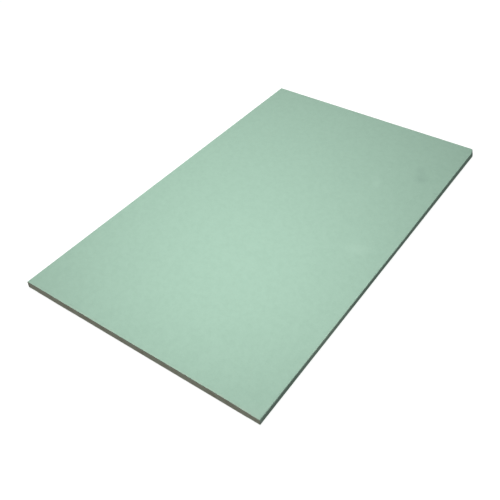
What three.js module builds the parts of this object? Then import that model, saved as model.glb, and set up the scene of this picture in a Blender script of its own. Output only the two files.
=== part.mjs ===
// A flat rectangular sheet of moisture-resistant plasterboard, lying face up.
// Millimetres, +Z up. The origin is the centre of the underside, X runs along the sheet and Y across it.
// The paper is bonded to the core for good, so the sheet is one solid.
import * as THREE from "three";

// Driving dimensions
const LENGTH = 750; // along X, from one cut end to the other
const WIDTH = 460; // along Y, from one papered long edge to the other
const THICKNESS = 12.5; // along Z, a stock thickness
const FACE_ARRIS_RADIUS = 1.5; // where the face paper turns down over a long edge
const BACK_ARRIS_RADIUS = 1; // where it turns under, onto the back
const ARC_STEPS = 8; // straight steps in each rounded arris, an even number
const FACE_GREEN = "#aad2bb";

// The sheet's outline cut across its length: width along x, thickness along y.
// The long edges are square, with their arrises rounded by the folded paper.
function crossSection() {
  const side = WIDTH / 2;
  const backTurn = side - BACK_ARRIS_RADIUS;
  const faceTurn = side - FACE_ARRIS_RADIUS;
  const faceHeight = THICKNESS - FACE_ARRIS_RADIUS;
  const right = 0;
  const up = Math.PI / 2;
  const left = Math.PI;
  const down = 1.5 * Math.PI;

  const section = new THREE.Shape();
  section.moveTo(-backTurn, 0);
  section.lineTo(backTurn, 0);
  section.absarc(backTurn, BACK_ARRIS_RADIUS, BACK_ARRIS_RADIUS, -up, right, false);
  section.absarc(faceTurn, faceHeight, FACE_ARRIS_RADIUS, right, up, false);
  section.absarc(-faceTurn, faceHeight, FACE_ARRIS_RADIUS, up, left, false);
  section.absarc(-backTurn, BACK_ARRIS_RADIUS, BACK_ARRIS_RADIUS, left, down, false);
  return section;
}

// The section drawn along the length, turned so that the cut ends face along X.
function sheetGeometry() {
  const geometry = new THREE.ExtrudeGeometry(crossSection(), {
    depth: LENGTH,
    bevelEnabled: false,
    curveSegments: ARC_STEPS / 2, // three.js draws two steps of an arc for each one asked for
  });
  geometry.translate(0, 0, -LENGTH / 2);
  const alongX = new THREE.Vector3(1, 0, 0);
  const alongY = new THREE.Vector3(0, 1, 0);
  const alongZ = new THREE.Vector3(0, 0, 1);
  return geometry.applyMatrix4(new THREE.Matrix4().makeBasis(alongY, alongZ, alongX));
}

const facePaper = new THREE.MeshStandardMaterial({
  name: "green face paper",
  color: FACE_GREEN,
  roughness: 0.85,
  metalness: 0,
});

const board = new THREE.Mesh(sheetGeometry(), facePaper);
board.name = "plasterboard_sheet";

const part = new THREE.Group();
part.add(board);

export default part;
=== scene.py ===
# A cut piece of moisture-resistant plasterboard, lying face up on a pale studio floor.
# Metres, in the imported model's frame: X along the sheet, Y across it, Z up out of the green face.
import math
import random

import bmesh
import bpy
import numpy as np
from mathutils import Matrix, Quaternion, Vector, noise


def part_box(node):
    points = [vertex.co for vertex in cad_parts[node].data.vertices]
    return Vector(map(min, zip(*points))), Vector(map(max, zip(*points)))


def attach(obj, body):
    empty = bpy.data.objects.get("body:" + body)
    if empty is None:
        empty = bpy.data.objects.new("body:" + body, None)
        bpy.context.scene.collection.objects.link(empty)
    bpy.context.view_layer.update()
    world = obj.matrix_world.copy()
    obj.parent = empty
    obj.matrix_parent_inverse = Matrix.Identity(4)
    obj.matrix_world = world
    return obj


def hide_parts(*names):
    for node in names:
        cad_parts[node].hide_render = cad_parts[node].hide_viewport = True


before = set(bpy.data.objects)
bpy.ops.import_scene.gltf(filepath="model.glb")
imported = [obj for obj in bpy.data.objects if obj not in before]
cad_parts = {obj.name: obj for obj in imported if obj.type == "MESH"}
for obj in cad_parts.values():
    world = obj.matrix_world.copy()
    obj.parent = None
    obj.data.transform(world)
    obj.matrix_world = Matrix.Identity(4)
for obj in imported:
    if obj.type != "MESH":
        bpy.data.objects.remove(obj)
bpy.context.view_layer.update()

MM = 0.001
ROUNDING = 1e-6  # less than any real distance or share here
SHEET = "plasterboard_sheet"

# The sheet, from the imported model
SHEET_LOW, SHEET_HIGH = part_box(SHEET)
HALF_LENGTH = SHEET_HIGH.x
HALF_WIDTH = SHEET_HIGH.y
THICKNESS = SHEET_HIGH.z

# The paper, and the round arrises that it makes along both long edges
PAPER = 0.45 * MM
FACE_ARRIS = 1.5 * MM
BACK_ARRIS = 1.0 * MM

# The fold of the face paper under the back, and the back liner's step down over it
FOLD = 20 * MM
LAP = 0.3 * MM
LAP_SLOPE = 0.2 * MM
LAP_WANDER = 1.2 * MM
LAP_WAVE = 45 * MM
LAP_HOLD = 6 * MM  # how far from the step the mesh goes along with its wander
LAP_HOLD_ROWS = 5  # and how many rows up a cut end

# The long edges' waves and dents
EDGE_REACH = 4 * MM  # how far in from the side they are felt
EDGE_WANDER = 0.16 * MM
EDGE_WAVE, FINE_EDGE_WAVE = 70 * MM, 12 * MM
FINE_EDGE_SHARE = 0.2  # how strong the fine waves are beside the long ones
EDGE_LEAN = 1.25 * MM  # how far in the face's side of the near long edge lies by the far end
EDGE_LEAN_FROM = 60 * MM  # where along the sheet its lean begins
DENT_DEPTH = 0.35 * MM
DENT_SPACING = 16 * MM
DENT_LEVEL = 0.42  # only noise above this makes a dent

# The cut ends
CUT_WANDER = 0.5 * MM  # how far a cut wanders in from square
CUT_WAVE, FINE_CUT_WAVE = 60 * MM, 9 * MM
FINE_CUT_SHARE = 0.22  # how strong the fine waves are beside the long ones
CUT_LEAN = 0.6 * MM  # how much further in the face's side of a cut lies than the back's
LEAN_WAVE = 110 * MM
CUT_CRUSH = 0.15 * MM  # how far the face sinks at a cut
CRUSH_LEAST = 0.1  # the part of it that is left where it sinks least
CRUSH_REACH = 2.5 * MM
CRUSH_WAVE = 14 * MM
RELIEF_REACH = 7 * MM  # how far behind a cut the paper still follows its wander

# The core where it is cut
CORE_FROM_SIDE = 1.5 * PAPER  # how far in from the sides it begins to lie back
CORE_RECESS = 0.12 * MM  # how far it lies behind the paper's cut edge
GRAIN_DEPTH = 0.3 * MM
GRAIN, FINE_GRAIN = 5 * MM, 1.6 * MM
GRAIN_SHARE, FINE_GRAIN_SHARE = 0.45, 0.4  # how strong each is, as a part of that depth
PITS_PER_END = 260
PIT_RADII = (0.5 * MM, 1.5 * MM)
PIT_DEPTHS = (0.2 * MM, 0.65 * MM)
PITS_FROM_SIDE = 3 * MM
PITS_FROM_FACE = 2 * MM

# The corner knocked off where the near long edge meets the far cut end, measured from the corner of the face
KNOCK_ALONG = 15 * MM
KNOCK_ACROSS = 4.8 * MM
KNOCK_DOWN = 25 * MM  # where its slope would end if the sheet were thick enough
KNOCK_GIVE = 14 * MM  # how far in the sheet has given way

# The corner pressed down a little where the near long edge meets the near cut end
PRESS_DOWN = 2.4 * MM
PRESS_ACROSS = 1.5 * MM
PRESS_ALONG_CUT = 50 * MM
PRESS_ALONG_EDGE = 16 * MM

# The mesh
END_CELL = 0.7 * MM
FACE_CELL = 7.5 * MM
ARRIS_STEPS = 7
FINE_RINGS = [depth * MM for depth in (0.4, 1, 2, 3.3, 5, 7, 9.5, 12.2, 15, 18)]  # in from each cut end
WIDE_FROM = FINE_RINGS[-1] + FACE_CELL / 2  # how deep behind each cut the wide cells start
FINE_BY_SIDE = FACE_ARRIS + 2 * END_CELL  # the wide cells stay fine across, this far in from a side
FINE_BY_LAP = 1.6 * END_CELL  # and this far from a lap

# Where each noise starts, so that no two look alike
EDGE_PLACE, FINE_EDGE_PLACE, DENT_PLACE, CRUSH_PLACE, LAP_PLACE = 3, 5, 9, 21, 31
NEAR_CUT_PLACE, FAR_CUT_PLACE = 11, 12
LEAN_PLACE = 13.75  # past the cut's own

# The slots of the sheet's mesh
FACE_PAPER, GYPSUM, CUT_PAPER, BACK_LINER = range(4)

# The kinds of a group's sockets, and the colour sockets of a Mix node
VALUE, VECTOR = "NodeSocketFloat", "NodeSocketVector"
MIX_FACTOR, MIX_FIRST, MIX_SECOND, MIX_RESULT = 0, 6, 7, 2

# Pressed paper: its tooth, and its loose fibres, which show where their noise is above a level
TOOTH = (1.1 * MM, 0.8 * MM, 0.8 * MM)
FIBRE = (2.6 * MM, 0.32 * MM, 2.0 * MM)
FIBRE_EDGE = 0.08  # how far above that level they show in full
PALE_FIBRE_TURNS, PALE_FIBRE_LEVEL = (0.3, 1.4, 2.5), 0.64
DARK_FIBRE_TURNS, DARK_FIBRE_LEVEL = (0.9, 2.0, 2.9), 0.67
WEAR_BREAKS = 6 * MM
WEAR_BREAK_LEVELS = (0.35, 0.65)  # between which noise breaks the wear up
GRAIN_LEVELS = (0.3, 0.7)  # between which a fine grain makes a surface rougher

# The green paper
FACE_GREEN = (0.429, 0.648, 0.515, 1)
FACE_CLOUD_DARK = (0.402, 0.614, 0.485, 1)
FACE_CLOUD = 9 * MM
WORN_GREEN = (0.52, 0.68, 0.57, 1)
CUT_DUST = (0.57, 0.65, 0.54, 1)
PALE_FIBRE = (0.50, 0.70, 0.57, 1)
DARK_FIBRE = (0.30, 0.47, 0.38, 1)

# Its smudges and scuffs
SMUDGE_GREY = (0.34, 0.52, 0.42, 1)
SCUFF_PALE = (0.52, 0.75, 0.61, 1)
EDGE_RUB = (0.56, 0.80, 0.63, 1)
PATCH_RAGS = 11 * MM
PATCH_RAGGED = 0.8  # how far the rags move a patch's border, as a part of its half sizes
PATCH_BORDER = (0.4, 1.5)  # where it is still whole and where it has gone, in its half sizes
PAPER_PATCHES = [  # (x, y, half length, half width, reach down) in mm, turn in degrees, colour, strength
    ((227, -182, 20, 15, 6), 10, SMUDGE_GREY, 0.55),
    ((251, -171, 24, 14, 6), 30, SMUDGE_GREY, 0.36),
    ((-10, -176, 34, 24, 6), 100, SCUFF_PALE, 0.3),
    ((172, -117, 34, 13, 6), 25, SCUFF_PALE, 0.22),
    ((-372, -225, 24, 45, 12), 0, SCUFF_PALE, 0.45),
    ((-195, -230, 115, 2, 40), 0, EDGE_RUB, 1.0),
]

# The core
GYPSUM_PALE = (0.79, 0.83, 0.655, 1)
GYPSUM_BROWN = (0.64, 0.625, 0.475, 1)
# painted shade: the darker colour inside the core's air pits stands for the shade that falls in them
GYPSUM_PIT_SHADE = (0.40, 0.41, 0.34, 1)
GYPSUM_PATCH = (7 * MM, 15 * MM, 7 * MM)
GYPSUM_GRAIN = 0.5 * MM
GYPSUM_GRAIN_HEIGHT = 0.35  # as a part of the bubbles' depth
SMALL_BUBBLES = (0.7 * MM, 0.34)  # how far apart, and the widest one's radius as a part of that
LARGE_BUBBLES = (2.4 * MM, 0.22)
BUBBLE_RIM = 0.08  # the width of a bubble's soft rim, as a part of the same
BUBBLE_SORTING = 3.0  # the higher, the fewer wide ones

# The back, and the papers' cut edges
LINER_CUT = (0.42, 0.44, 0.36, 1)
LINER_PLIES = (0.6 * MM, 4 * MM, 0.6 * MM)
LINER_GREY = (0.36, 0.33, 0.27, 1)
LINER_GREY_DARK = (0.31, 0.285, 0.235, 1)
LINER_CLOUD = 11 * MM
LINER_SPECK = (0.13, 0.11, 0.09, 1)
LINER_FIBRE = (0.52, 0.49, 0.42, 1)

# The camera, solved from the sheet's corners in the photo
CAMERA_AT = Vector((-0.7716, -0.5192, 0.7671))
CAMERA_AIM = Vector((-0.1125, -0.0276, 0.0125))
CAMERA_ROLL = math.radians(-2.068)
LENS_MM = 47.73
SENSOR_MM = 36

# The floor
FLOOR_HALF = 30.0
FLOOR_GAP = 0.2 * MM
FLOOR_WHITE = 0.4
FLOOR_GLOW = 0.89

# The room's own light, from above and from below
ROOM_ABOVE = 0.196
ROOM_BELOW = 0.13
ROOM_BELOW_LEFT = 0.19  # the cut end in view is lit a little more than the long edge
ROOM_TURN = (-0.7, 0.1)  # the X of a direction, from the left's own light to the rest's
ROOM_HORIZON = (-0.25, 0.25)  # the Z of a direction, from the light below to the light above

# The lamps: place, width, watts, and whether they shine up
SOFTBOXES = {
    "near_softbox": (Vector((-0.255, -0.097, 0.531)), 0.22, 1.14, False),
    "far_softbox": (Vector((0.131, 0.207, 0.989)), 0.45, 5.89, False),
    "under_softbox": (Vector((0, 0, -0.9)), 0.3, 7.0, True),  # lights only the back, for views from below
}


def held(value):
    """The value, held between 0 and 1."""
    return min(1.0, max(0.0, value))


def evenly(start, stop, step):
    """Values from start to stop, evenly spaced and no further apart than step."""
    count = max(1, math.ceil(abs(stop - start) / step - ROUNDING))
    return [start + (stop - start) * i / count for i in range(count + 1)]


def rumple(x, y, z, size, place):
    """Smooth noise from -1 to 1, with features about size across."""
    return noise.noise(Vector((x / size + place, y / size - place, z / size)))


def swell(x, y, z, size, place):
    """The same noise, from 0 to 1."""
    return 0.5 + 0.5 * rumple(x, y, z, size, place)


def from_side(y):
    """How far y lies in from the nearer long edge."""
    return HALF_WIDTH - abs(y)


def drop(side_distance, radius):
    """How far a round arris has dropped, that far in from the side."""
    if side_distance >= radius:
        return 0.0
    return radius - math.sqrt(max(0.0, radius**2 - (radius - side_distance) ** 2))


def column_places():
    """Y of each column of the section: fine round the arrises, at the paper and at the laps."""
    inner = HALF_WIDTH - FACE_ARRIS
    quarter = math.pi / 2
    arris = [inner + FACE_ARRIS * math.sin(quarter * i / ARRIS_STEPS) for i in range(1, ARRIS_STEPS + 1)]
    lap = HALF_WIDTH - FOLD
    half = evenly(0, lap - LAP_SLOPE, END_CELL) + evenly(lap, inner, END_CELL) + arris
    half.append(HALF_WIDTH - PAPER)
    half.sort()
    return [-y for y in reversed(half[1:])] + half


def underside(y):
    """Z of the back at y: the liner lies lowest, and the folded face paper shows beyond it."""
    lap = LAP if from_side(y) <= FOLD + ROUNDING else 0.0
    return lap + drop(from_side(y), BACK_ARRIS)


def upside(y):
    """Z of the face at y."""
    return THICKNESS - drop(from_side(y), FACE_ARRIS)


def row_places(y):
    """Z of each row at y: the back's paper, the core and the face's paper."""
    low, high = underside(y), upside(y)
    core_rows = round((THICKNESS - 2 * PAPER) / END_CELL)
    start, stop = low + PAPER, high - PAPER
    core = [start + (stop - start) * i / core_rows for i in range(core_rows + 1)]
    return [low, *core, high]


def cut_line(y, z, place):
    """How far in from square a cut lies there: its wander and its lean."""
    wander = swell(0, y, 0, CUT_WAVE, place) + FINE_CUT_SHARE * rumple(0, y, 0, FINE_CUT_WAVE, place)
    lean = swell(0, y, 0, LEAN_WAVE, place + LEAN_PLACE)
    return CUT_WANDER * held(wander) + CUT_LEAN * lean * z / THICKNESS


def core_grain(y, z, place):
    """How far the snapped core lies behind the cut line there."""
    coarse = GRAIN_SHARE * rumple(0, y, z, GRAIN, place)
    fine = FINE_GRAIN_SHARE * rumple(0, y, z, FINE_GRAIN, place)
    return CORE_RECESS + GRAIN_DEPTH * max(0.0, 0.5 + coarse + fine)


def end_relief(columns, rows, place):
    """How far each point of a cut end lies in from square."""
    relief = np.zeros((len(columns), len(rows[0])))
    core_rows = range(2, len(rows[0]) - 2)
    for j, y in enumerate(columns):
        for i, z in enumerate(rows[j]):
            relief[j, i] = cut_line(y, z, place)
            if i in core_rows and from_side(y) > CORE_FROM_SIDE:
                relief[j, i] += core_grain(y, z, place)
    dice = random.Random(place)
    grid_y = np.repeat(np.array(columns)[:, None], len(rows[0]), 1)
    grid_z = np.array(rows)
    for _ in range(PITS_PER_END):
        y = dice.uniform(PITS_FROM_SIDE - HALF_WIDTH, HALF_WIDTH - PITS_FROM_SIDE)
        z = dice.uniform(PITS_FROM_FACE, THICKNESS - PITS_FROM_FACE)
        radius = dice.uniform(*PIT_RADII)
        depth = dice.uniform(*PIT_DEPTHS)
        near = 1 - ((grid_y - y) ** 2 + (grid_z - z) ** 2) / radius**2
        relief += depth * np.clip(near, 0, 1)
    return relief


def knocked(x, y, z):
    """The point, pushed in across the sheet where one corner is knocked off."""
    over = 1 - (HALF_LENGTH - x) / KNOCK_ALONG - (THICKNESS - z) / KNOCK_DOWN
    give = 1 - (HALF_WIDTH + y) / KNOCK_GIVE
    if over > 0 and give > 0:
        y += KNOCK_ACROSS * over * give
    return x, y, z


def pressed(x, y, z):
    """The point, pressed down and a little in at the near corner of the face."""
    from_edge = 1 - (HALF_WIDTH + y) / PRESS_ALONG_CUT
    from_cut = 1 - (HALF_LENGTH + x) / PRESS_ALONG_EDGE
    high = 2 * z / THICKNESS - 1
    if from_edge > 0 and from_cut > 0 and high > 0:
        press = from_edge * from_cut * high
        y += PRESS_ACROSS * press
        z -= PRESS_DOWN * press
    return x, y, z


def handled(x, y, z):
    """The point, with the small waves and dents that a papered long edge has."""
    hold = 1 - from_side(y) / EDGE_REACH
    if hold <= 0:
        return x, y, z
    side = math.copysign(1, y)
    fine_wave = rumple(x, side, z, FINE_EDGE_WAVE, FINE_EDGE_PLACE)
    wave = swell(x, side, 0, EDGE_WAVE, EDGE_PLACE) + FINE_EDGE_SHARE * fine_wave
    inward = EDGE_WANDER * held(wave)
    if side < 0 and x > EDGE_LEAN_FROM:
        still = (HALF_LENGTH - x) / (HALF_LENGTH - EDGE_LEAN_FROM)
        inward += EDGE_LEAN * (1 - still**2) * z / THICKNESS
    dent = rumple(x, side, 0, DENT_SPACING, DENT_PLACE) - DENT_LEVEL
    if dent > 0 and z > THICKNESS - EDGE_REACH:
        z -= DENT_DEPTH * hold * dent
    return x, y - side * inward * hold, z


def crush(y, depth):
    """How far the face has sunk, that far behind a cut."""
    hold = held(1 - depth / CRUSH_REACH) ** 2
    return CUT_CRUSH * hold * (CRUSH_LEAST + (1 - CRUSH_LEAST) * swell(0, y, 0, CRUSH_WAVE, CRUSH_PLACE))


class SheetMesh:
    """The whole sheet as one closed mesh: two gridded cut ends joined by the papered wrap.

    A point of the section is (column, row). The rim is the list of the section's outer points, which runs
    along the back, up one long edge, along the face and down the other. The wrap is built of rings, each
    of them one turn round the sheet, which are given as lists of vertices.
    """

    def __init__(self):
        self.shape = bmesh.new()
        self.columns = column_places()
        self.rows = [row_places(y) for y in self.columns]
        self.last_column = len(self.columns) - 1
        self.last_row = len(self.rows[0]) - 1
        self.rim = [(j, 0) for j in range(self.last_column)]
        self.rim += [(self.last_column, i) for i in range(self.last_row)]
        self.rim += [(j, self.last_row) for j in range(self.last_column, 0, -1)]
        self.rim += [(0, i) for i in range(self.last_row, 0, -1)]
        self.whole = list(range(len(self.rim)))
        self.kept = self.wide_members()

    def wide_members(self):
        """The members of the rim that the wide cells of the sheet's middle keep."""
        near_side = [j for j, y in enumerate(self.columns) if from_side(y) < FINE_BY_SIDE]
        near_lap = [j for j, y in enumerate(self.columns) if abs(from_side(y) - FOLD) < FINE_BY_LAP]
        spaced = range(0, self.last_column, round(FACE_CELL / END_CELL))
        columns = {*near_side, *near_lap, *spaced}
        kept = []
        for k, (j, i) in enumerate(self.rim):
            on_flat = i in (0, self.last_row)
            if (on_flat and j in columns) or (not on_flat and (i % 2 == 0 or i == 1)):
                kept.append(k)
        return kept

    def lap_shift(self, j, i, x):
        """How far the back liner's edge has wandered across."""
        y = self.columns[j]
        hold = 1 - abs(from_side(y) - FOLD) / LAP_HOLD - max(0, i - 1) / LAP_HOLD_ROWS
        if hold <= 0:
            return 0.0
        return LAP_WANDER * hold * rumple(x, math.copysign(1, y), 0, LAP_WAVE, LAP_PLACE)

    def point(self, j, i, side, depth, inset):
        """A vertex of the section, that deep behind the cut end on that side, and inset further."""
        y, z = self.columns[j], self.rows[j][i]
        x = side * (HALF_LENGTH - depth - inset)
        lap_x = side * (HALF_LENGTH - depth)
        sunk = crush(y, depth) if i == self.last_row else 0.0
        place = handled(x, y + self.lap_shift(j, i, lap_x), z - sunk)
        return self.shape.verts.new(knocked(*pressed(*place)))

    def ring(self, side, depth, members, relief=None):
        """One turn of the wrap, that deep behind the cut end on that side."""
        follow = held(1 - depth / RELIEF_REACH)
        made = []
        for k in members:
            j, i = self.rim[k]
            inset = relief[j, i] * follow if relief is not None else 0.0
            made.append(self.point(j, i, side, depth, inset))
        return made

    def is_liner(self, first, second):
        """True for a stretch of the rim that the back liner covers."""
        middle = (self.columns[first[0]] + self.columns[second[0]]) / 2
        return first[1] == 0 and second[1] == 0 and from_side(middle) > FOLD

    def skin(self, first, second, members_first, members_second):
        """Faces between two rings. Each takes in all the points that the second ring leaves out."""
        spots = {k: n for n, k in enumerate(members_first)}
        for n, k in enumerate(members_second):
            after = (n + 1) % len(members_second)
            k_after = members_second[after]
            start, stop = spots[k], spots[k_after]
            if stop <= start:
                stop += len(members_first)
            run = [first[m % len(members_first)] for m in range(start, stop + 1)]
            face = self.shape.faces.new([*run, second[after], second[n]])
            face.smooth = True
            face.material_index = BACK_LINER if self.is_liner(self.rim[k], self.rim[k_after]) else FACE_PAPER

    def cut_end(self, side, place):
        """One gridded cut end. Gives its turn of the rim, and its relief."""
        relief = end_relief(self.columns, self.rows, place)
        grid = [
            [self.point(j, i, side, 0.0, relief[j, i]) for i in range(self.last_row + 1)]
            for j in range(self.last_column + 1)
        ]
        for j in range(self.last_column):
            middle = (self.columns[j] + self.columns[j + 1]) / 2
            for i in range(self.last_row):
                face = self.shape.faces.new([grid[j][i], grid[j + 1][i], grid[j + 1][i + 1], grid[j][i + 1]])
                at_paper = i in (0, self.last_row - 1) or from_side(middle) < PAPER
                face.material_index = CUT_PAPER if at_paper else GYPSUM
                face.smooth = not at_paper
        return [grid[j][i] for j, i in self.rim], relief

    def from_cut(self, side, place):
        """A cut end, the fine rings behind it, and the first ring of wide cells, which it gives."""
        before, relief = self.cut_end(side, place)
        for depth in FINE_RINGS:
            after = self.ring(side, depth, self.whole, relief)
            self.skin(before, after, self.whole, self.whole)
            before = after
        after = self.ring(side, WIDE_FROM, self.kept)
        self.skin(before, after, self.whole, self.kept)
        return after

    def build(self):
        """Builds the sheet from both ends to its middle, and gives its mesh."""
        before = self.from_cut(-1, NEAR_CUT_PLACE)
        far_ring = self.from_cut(1, FAR_CUT_PLACE)
        for x in evenly(WIDE_FROM - HALF_LENGTH, HALF_LENGTH - WIDE_FROM, FACE_CELL)[1:-1]:
            after = self.ring(math.copysign(1, x), HALF_LENGTH - abs(x), self.kept)
            self.skin(before, after, self.kept, self.kept)
            before = after
        self.skin(before, far_ring, self.kept, self.kept)
        bmesh.ops.recalc_face_normals(self.shape, faces=self.shape.faces)
        for edge in self.shape.edges:
            wrapped = {face.material_index in (FACE_PAPER, BACK_LINER) for face in edge.link_faces}
            edge.smooth = len(wrapped) == 1
        mesh = bpy.data.meshes.new("plasterboard_sheet_dressed")
        self.shape.to_mesh(mesh)
        self.shape.free()
        return mesh


class Nodes:
    """A node tree that is being written, with short calls for its nodes and links."""

    def __init__(self, tree):
        self.tree = tree

    def add(self, kind, **settings):
        node = self.tree.nodes.new(kind)
        for name, value in settings.items():
            setattr(node, name, value)
        return node

    def feed(self, source, target):
        """Links a socket to the target, or sets the target to a plain value."""
        if isinstance(source, bpy.types.NodeSocket):
            self.tree.links.new(source, target)
        else:
            target.default_value = source

    def math(self, operation, first, second=0.0, clamp=False):
        node = self.add("ShaderNodeMath", operation=operation, use_clamp=clamp)
        self.feed(first, node.inputs[0])
        self.feed(second, node.inputs[1])
        return node.outputs[0]

    def mix(self, factor, first, second):
        """The first colour, turned into the second by factor."""
        node = self.add("ShaderNodeMix", data_type="RGBA")
        self.feed(factor, node.inputs[MIX_FACTOR])
        self.feed(first, node.inputs[MIX_FIRST])
        self.feed(second, node.inputs[MIX_SECOND])
        return node.outputs[MIX_RESULT]

    def span(self, value, low, high, to_low=0.0, to_high=1.0):
        """value, stretched from low..high to to_low..to_high with soft ends."""
        node = self.add("ShaderNodeMapRange", interpolation_type="SMOOTHSTEP")
        for socket, number in zip(node.inputs[:5], (value, low, high, to_low, to_high)):
            self.feed(number, socket)
        return node.outputs[0]

    def measured(self, place, sizes, turn, start=(0, 0, 0)):
        """place as seen from start, turned about Z and counted in three sizes."""
        node = self.add("ShaderNodeMapping", vector_type="TEXTURE")
        self.feed(place, node.inputs["Vector"])
        node.inputs["Location"].default_value = start
        node.inputs["Rotation"].default_value = (0, 0, turn)
        node.inputs["Scale"].default_value = sizes
        return node.outputs[0]

    def noise(self, place, sizes, detail, roughness=0.5, turn=0.0):
        """Noise with features of three sizes, or of one."""
        if not isinstance(sizes, tuple):
            sizes = (sizes, sizes, sizes)
        node = self.add("ShaderNodeTexNoise")
        self.feed(self.measured(place, sizes, turn), node.inputs["Vector"])
        node.inputs["Scale"].default_value = 1.0
        node.inputs["Detail"].default_value = detail
        node.inputs["Roughness"].default_value = roughness
        return node.outputs["Fac"]

    def group(self, tree, **values):
        """A group's outputs, with its inputs fed by name."""
        node = self.add("ShaderNodeGroup", node_tree=tree)
        for name, value in values.items():
            self.feed(value, node.inputs[name.replace("_", " ")])
        return node.outputs


def new_group(name, inputs, outputs):
    """A node group with these sockets, given as {name: kind}. Gives its Nodes, inputs and outputs."""
    tree = bpy.data.node_groups.new(name, "ShaderNodeTree")
    for socket, kind in inputs.items():
        tree.interface.new_socket(socket, in_out="INPUT", socket_type=kind)
    for socket, kind in outputs.items():
        tree.interface.new_socket(socket, in_out="OUTPUT", socket_type=kind)
    nodes = Nodes(tree)
    return nodes, nodes.add("NodeGroupInput").outputs, nodes.add("NodeGroupOutput").inputs


def paper_fibre_group():
    """Pressed paper: cloudy pulp, a fine tooth, and loose pale and dark fibres."""
    nodes, given, out = new_group(
        "paper_fibre",
        {"Place": VECTOR, "Clouds Per Metre": VALUE},
        {"Cloud": VALUE, "Tooth": VALUE, "Pale Fibres": VALUE, "Dark Fibres": VALUE},
    )
    place = given["Place"]
    cloud = nodes.add("ShaderNodeTexNoise")
    nodes.feed(place, cloud.inputs["Vector"])
    nodes.feed(given["Clouds Per Metre"], cloud.inputs["Scale"])
    cloud.inputs["Detail"].default_value = 4.0
    cloud.inputs["Roughness"].default_value = 0.62
    nodes.feed(cloud.outputs["Fac"], out["Cloud"])
    nodes.feed(nodes.noise(place, TOOTH, detail=4.0, roughness=0.6), out["Tooth"])

    def fibres(turns, level):
        """Short threads lying several ways."""
        total = 0.0
        for turn in turns:
            thread = nodes.noise(place, FIBRE, detail=0.0, turn=turn)
            total = nodes.math("MAXIMUM", total, nodes.span(thread, level, level + FIBRE_EDGE))
        return total

    nodes.feed(fibres(PALE_FIBRE_TURNS, PALE_FIBRE_LEVEL), out["Pale Fibres"])
    nodes.feed(fibres(DARK_FIBRE_TURNS, DARK_FIBRE_LEVEL), out["Dark Fibres"])
    return nodes.tree


def rim_wear_group():
    """Where the sheet's rim has been handled: near the cut ends and near the long edges."""
    nodes, given, out = new_group(
        "rim_wear",
        {"Place": VECTOR, "Cut Reach": VALUE, "Edge Reach": VALUE},
        {"Cut Wear": VALUE, "Edge Wear": VALUE},
    )
    parts = nodes.add("ShaderNodeSeparateXYZ")
    nodes.feed(given["Place"], parts.inputs[0])
    broken = nodes.noise(given["Place"], WEAR_BREAKS, detail=3.0, roughness=0.6)
    breaks = nodes.span(broken, *WEAR_BREAK_LEVELS)
    for axis, half, name in (("X", HALF_LENGTH, "Cut"), ("Y", HALF_WIDTH, "Edge")):
        away = nodes.math("SUBTRACT", half, nodes.math("ABSOLUTE", parts.outputs[axis]))
        near = nodes.math("SUBTRACT", 1.0, nodes.math("DIVIDE", away, given[name + " Reach"]), clamp=True)
        nodes.feed(nodes.math("MULTIPLY", near, breaks), out[name + " Wear"])
    return nodes.tree


class Finish(Nodes):
    """A material that is being written: its nodes, its shader and the place on the sheet."""

    def __init__(self, name, specular):
        self.material = bpy.data.materials.new(name)
        self.material.use_nodes = True
        super().__init__(self.material.node_tree)
        self.shader = self.tree.nodes["Principled BSDF"]
        self.shader.inputs["Specular IOR Level"].default_value = specular
        self.place = self.add("ShaderNodeTexCoord").outputs["Object"]

    def marbled(self, value, first, second, levels):
        """The first colour, turned into the second as the value goes up between two levels."""
        return self.mix(self.span(value, *levels), first, second)

    def tinted(self, colour, mask, tint, strength):
        """The colour, turned towards the tint where the mask is, by strength at most."""
        return self.mix(self.math("MULTIPLY", mask, strength), colour, tint)

    def patch(self, spot, turn, strength):
        """A ragged soft patch, centred on the face: strength at its middle, 0 beyond its sides."""
        x, y, half_length, half_width, reach_down = (value * MM for value in spot)
        sizes = (half_length, half_width, reach_down)
        away = self.add("ShaderNodeVectorMath", operation="LENGTH")
        self.feed(self.measured(self.place, sizes, math.radians(turn), (x, y, THICKNESS)), away.inputs[0])
        ragged = self.math("MULTIPLY", self.noise(self.place, PATCH_RAGS, detail=3.0), PATCH_RAGGED)
        return self.span(self.math("ADD", away.outputs["Value"], ragged), *PATCH_BORDER, strength, 0.0)

    def bubbles(self, spacing, widest):
        """Round holes that far apart, of many sizes up to widest, as a part of the spacing."""
        cells = self.add("ShaderNodeTexVoronoi", feature="F1")
        self.feed(self.place, cells.inputs["Vector"])
        cells.inputs["Scale"].default_value = 1 / spacing
        dice = self.add("ShaderNodeSeparateColor")
        self.feed(cells.outputs["Color"], dice.inputs[0])
        size = self.math("MULTIPLY", self.math("POWER", dice.outputs[0], BUBBLE_SORTING), widest)
        return self.span(cells.outputs["Distance"], size, self.math("ADD", size, BUBBLE_RIM), 1.0, 0.0)

    def show(self, colour, grain, roughness, height, relief):
        """Feeds the shader: its colour, a roughness that follows the grain, and a bump."""
        self.feed(colour, self.shader.inputs["Base Color"])
        self.feed(self.span(grain, *GRAIN_LEVELS, *roughness), self.shader.inputs["Roughness"])
        bump = self.add("ShaderNodeBump")
        bump.inputs["Distance"].default_value = relief
        self.feed(height, bump.inputs["Height"])
        self.feed(bump.outputs[0], self.shader.inputs["Normal"])


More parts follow.
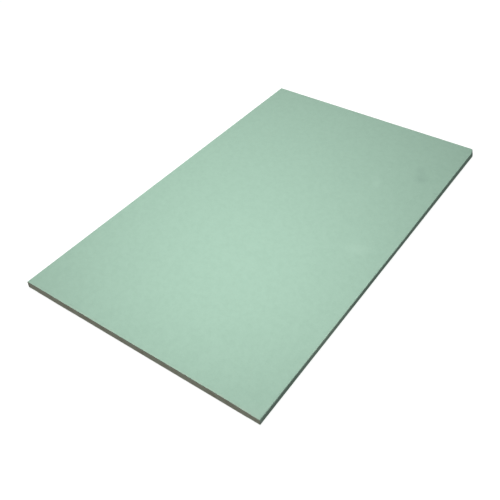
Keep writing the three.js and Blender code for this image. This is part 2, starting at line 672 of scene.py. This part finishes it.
def face_paper_material(fibre, wear):
    """Pale green liner: face, long edges and the folds under the back."""
    finish = Finish("green_face_paper", specular=0.25)
    paper = finish.group(fibre, Place=finish.place, Clouds_Per_Metre=1 / FACE_CLOUD)
    rim = finish.group(wear, Place=finish.place, Cut_Reach=4 * MM, Edge_Reach=2.2 * MM)
    colour = finish.marbled(paper["Cloud"], FACE_CLOUD_DARK, FACE_GREEN, levels=(0.25, 0.7))
    colour = finish.tinted(colour, paper["Pale Fibres"], PALE_FIBRE, strength=0.35)
    colour = finish.tinted(colour, paper["Dark Fibres"], DARK_FIBRE, strength=0.22)
    for spot, turn, tint, strength in PAPER_PATCHES:
        colour = finish.mix(finish.patch(spot, turn, strength), colour, tint)
    colour = finish.tinted(colour, rim["Edge Wear"], WORN_GREEN, strength=0.5)
    colour = finish.tinted(colour, rim["Cut Wear"], CUT_DUST, strength=0.6)
    finish.show(colour, paper["Tooth"], roughness=(0.78, 0.9), height=paper["Tooth"], relief=0.055 * MM)
    return finish.material


def gypsum_material():
    """The foamed core where the sheet is cut: chalky, with air pits and tan patches. The pits are darkened
    with painted shade.
    """
    finish = Finish("gypsum_core", specular=0.2)
    patches = finish.noise(finish.place, GYPSUM_PATCH, detail=4.0, roughness=0.6)
    colour = finish.marbled(patches, GYPSUM_PALE, GYPSUM_BROWN, levels=(0.42, 0.72))
    pits = finish.math("MAXIMUM", finish.bubbles(*SMALL_BUBBLES), finish.bubbles(*LARGE_BUBBLES))
    # painted shade: the pits' mask darkens the colour there, beside their real bump below
    colour = finish.tinted(colour, pits, GYPSUM_PIT_SHADE, strength=0.45)
    grain = finish.noise(finish.place, GYPSUM_GRAIN, detail=3.0, roughness=0.6)
    height = finish.math("SUBTRACT", finish.math("MULTIPLY", grain, GYPSUM_GRAIN_HEIGHT), pits)
    finish.show(colour, grain, roughness=(0.88, 0.98), height=height, relief=0.2 * MM)
    return finish.material


def cut_paper_material():
    """The liners' own cut edges, a thin grey-green line round each cut end."""
    finish = Finish("cut_liner_edge", specular=0.2)
    plies = finish.noise(finish.place, LINER_PLIES, detail=3.0, roughness=0.6)
    colour = finish.marbled(plies, LINER_CUT, FACE_CLOUD_DARK, levels=(0.35, 0.65))
    finish.show(colour, plies, roughness=(0.85, 0.95), height=plies, relief=0.08 * MM)
    return finish.material


def back_liner_material(fibre, wear):
    """The plain back: warm grey recycled liner with specks."""
    finish = Finish("grey_back_liner", specular=0.25)
    paper = finish.group(fibre, Place=finish.place, Clouds_Per_Metre=1 / LINER_CLOUD)
    rim = finish.group(wear, Place=finish.place, Cut_Reach=3 * MM)
    colour = finish.marbled(paper["Cloud"], LINER_GREY_DARK, LINER_GREY, levels=(0.3, 0.7))
    colour = finish.tinted(colour, paper["Pale Fibres"], LINER_FIBRE, strength=0.5)
    colour = finish.tinted(colour, paper["Dark Fibres"], LINER_SPECK, strength=0.5)
    colour = finish.tinted(colour, rim["Cut Wear"], LINER_FIBRE, strength=0.4)
    finish.show(colour, paper["Tooth"], roughness=(0.82, 0.94), height=paper["Tooth"], relief=0.065 * MM)
    return finish.material


def place_in_scene(data):
    """A new object that holds this data, under the data's name."""
    thing = bpy.data.objects.new(data.name, data)
    bpy.context.scene.collection.objects.link(thing)
    return thing


def dress_sheet():
    """Puts the finished sheet in the place of the plain one."""
    mesh = SheetMesh().build()
    fibre = paper_fibre_group()
    wear = rim_wear_group()
    mesh.materials.append(face_paper_material(fibre, wear))
    mesh.materials.append(gypsum_material())
    mesh.materials.append(cut_paper_material())
    mesh.materials.append(back_liner_material(fibre, wear))
    sheet = place_in_scene(mesh)
    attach(sheet, "root")
    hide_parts(SHEET)


def place_camera():
    data = bpy.data.cameras.new("photo_view")
    data.lens = LENS_MM
    data.sensor_width = SENSOR_MM
    camera = place_in_scene(data)
    aimed = (CAMERA_AIM - CAMERA_AT).to_track_quat("-Z", "Y")
    camera.rotation_mode = "QUATERNION"
    camera.rotation_quaternion = aimed @ Quaternion((0, 0, 1), CAMERA_ROLL)
    camera.location = CAMERA_AT
    bpy.context.scene.camera = camera


def floor_material():
    """White that glows a little, and is clear from below."""
    material = bpy.data.materials.new("studio_floor_white")
    material.use_nodes = True
    nodes = Nodes(material.node_tree)
    shader = nodes.tree.nodes["Principled BSDF"]
    shader.inputs["Base Color"].default_value = (FLOOR_WHITE, FLOOR_WHITE, FLOOR_WHITE, 1)
    shader.inputs["Roughness"].default_value = 1.0
    shader.inputs["Specular IOR Level"].default_value = 0.0
    shader.inputs["Emission Color"].default_value = (1, 1, 1, 1)
    shader.inputs["Emission Strength"].default_value = FLOOR_GLOW
    choice = nodes.add("ShaderNodeMixShader")
    nodes.feed(nodes.add("ShaderNodeNewGeometry").outputs["Backfacing"], choice.inputs[0])
    nodes.feed(shader.outputs[0], choice.inputs[1])
    nodes.feed(nodes.add("ShaderNodeBsdfTransparent").outputs[0], choice.inputs[2])
    nodes.feed(choice.outputs[0], nodes.tree.nodes["Material Output"].inputs["Surface"])
    return material


def lay_floor():
    """A white floor. It gives the sheet no light and holds none back, and isn't seen from below."""
    mesh = bpy.data.meshes.new("studio_floor")
    h, z = FLOOR_HALF, SHEET_LOW.z - FLOOR_GAP
    mesh.from_pydata([(-h, -h, z), (h, -h, z), (h, h, z), (-h, h, z)], [], [(0, 1, 2, 3)])
    mesh.materials.append(floor_material())
    floor = place_in_scene(mesh)
    floor.visible_diffuse = False
    floor.visible_glossy = False
    floor.visible_shadow = False


def hang_softboxes():
    for name, (place, width, watts, upward) in SOFTBOXES.items():
        data = bpy.data.lights.new(name, "AREA")
        data.size = width
        data.energy = watts
        lamp = place_in_scene(data)
        lamp.location = place
        lamp.rotation_euler.x = math.pi if upward else 0
        lamp.visible_camera = False


def light_room():
    """The room's even light, with plain colours. The camera itself sees the room as white."""
    world = bpy.data.worlds.new("studio")
    bpy.context.scene.world = world
    world.use_nodes = True
    nodes = Nodes(world.node_tree)
    sky = nodes.tree.nodes["Background"]
    direction = nodes.add("ShaderNodeSeparateXYZ")
    nodes.feed(nodes.add("ShaderNodeTexCoord").outputs["Generated"], direction.inputs[0])
    below = nodes.span(direction.outputs["X"], *ROOM_TURN, ROOM_BELOW_LEFT, ROOM_BELOW)
    room = nodes.span(direction.outputs["Z"], *ROOM_HORIZON, below, ROOM_ABOVE)
    seen = nodes.add("ShaderNodeLightPath").outputs["Is Camera Ray"]
    nodes.feed(nodes.math("MAXIMUM", seen, room), sky.inputs["Strength"])
    sky.inputs["Color"].default_value = (1, 1, 1, 1)
    bpy.context.scene.view_settings.view_transform = "Standard"


place_camera()
lay_floor()
hang_softboxes()
light_room()
dress_sheet()
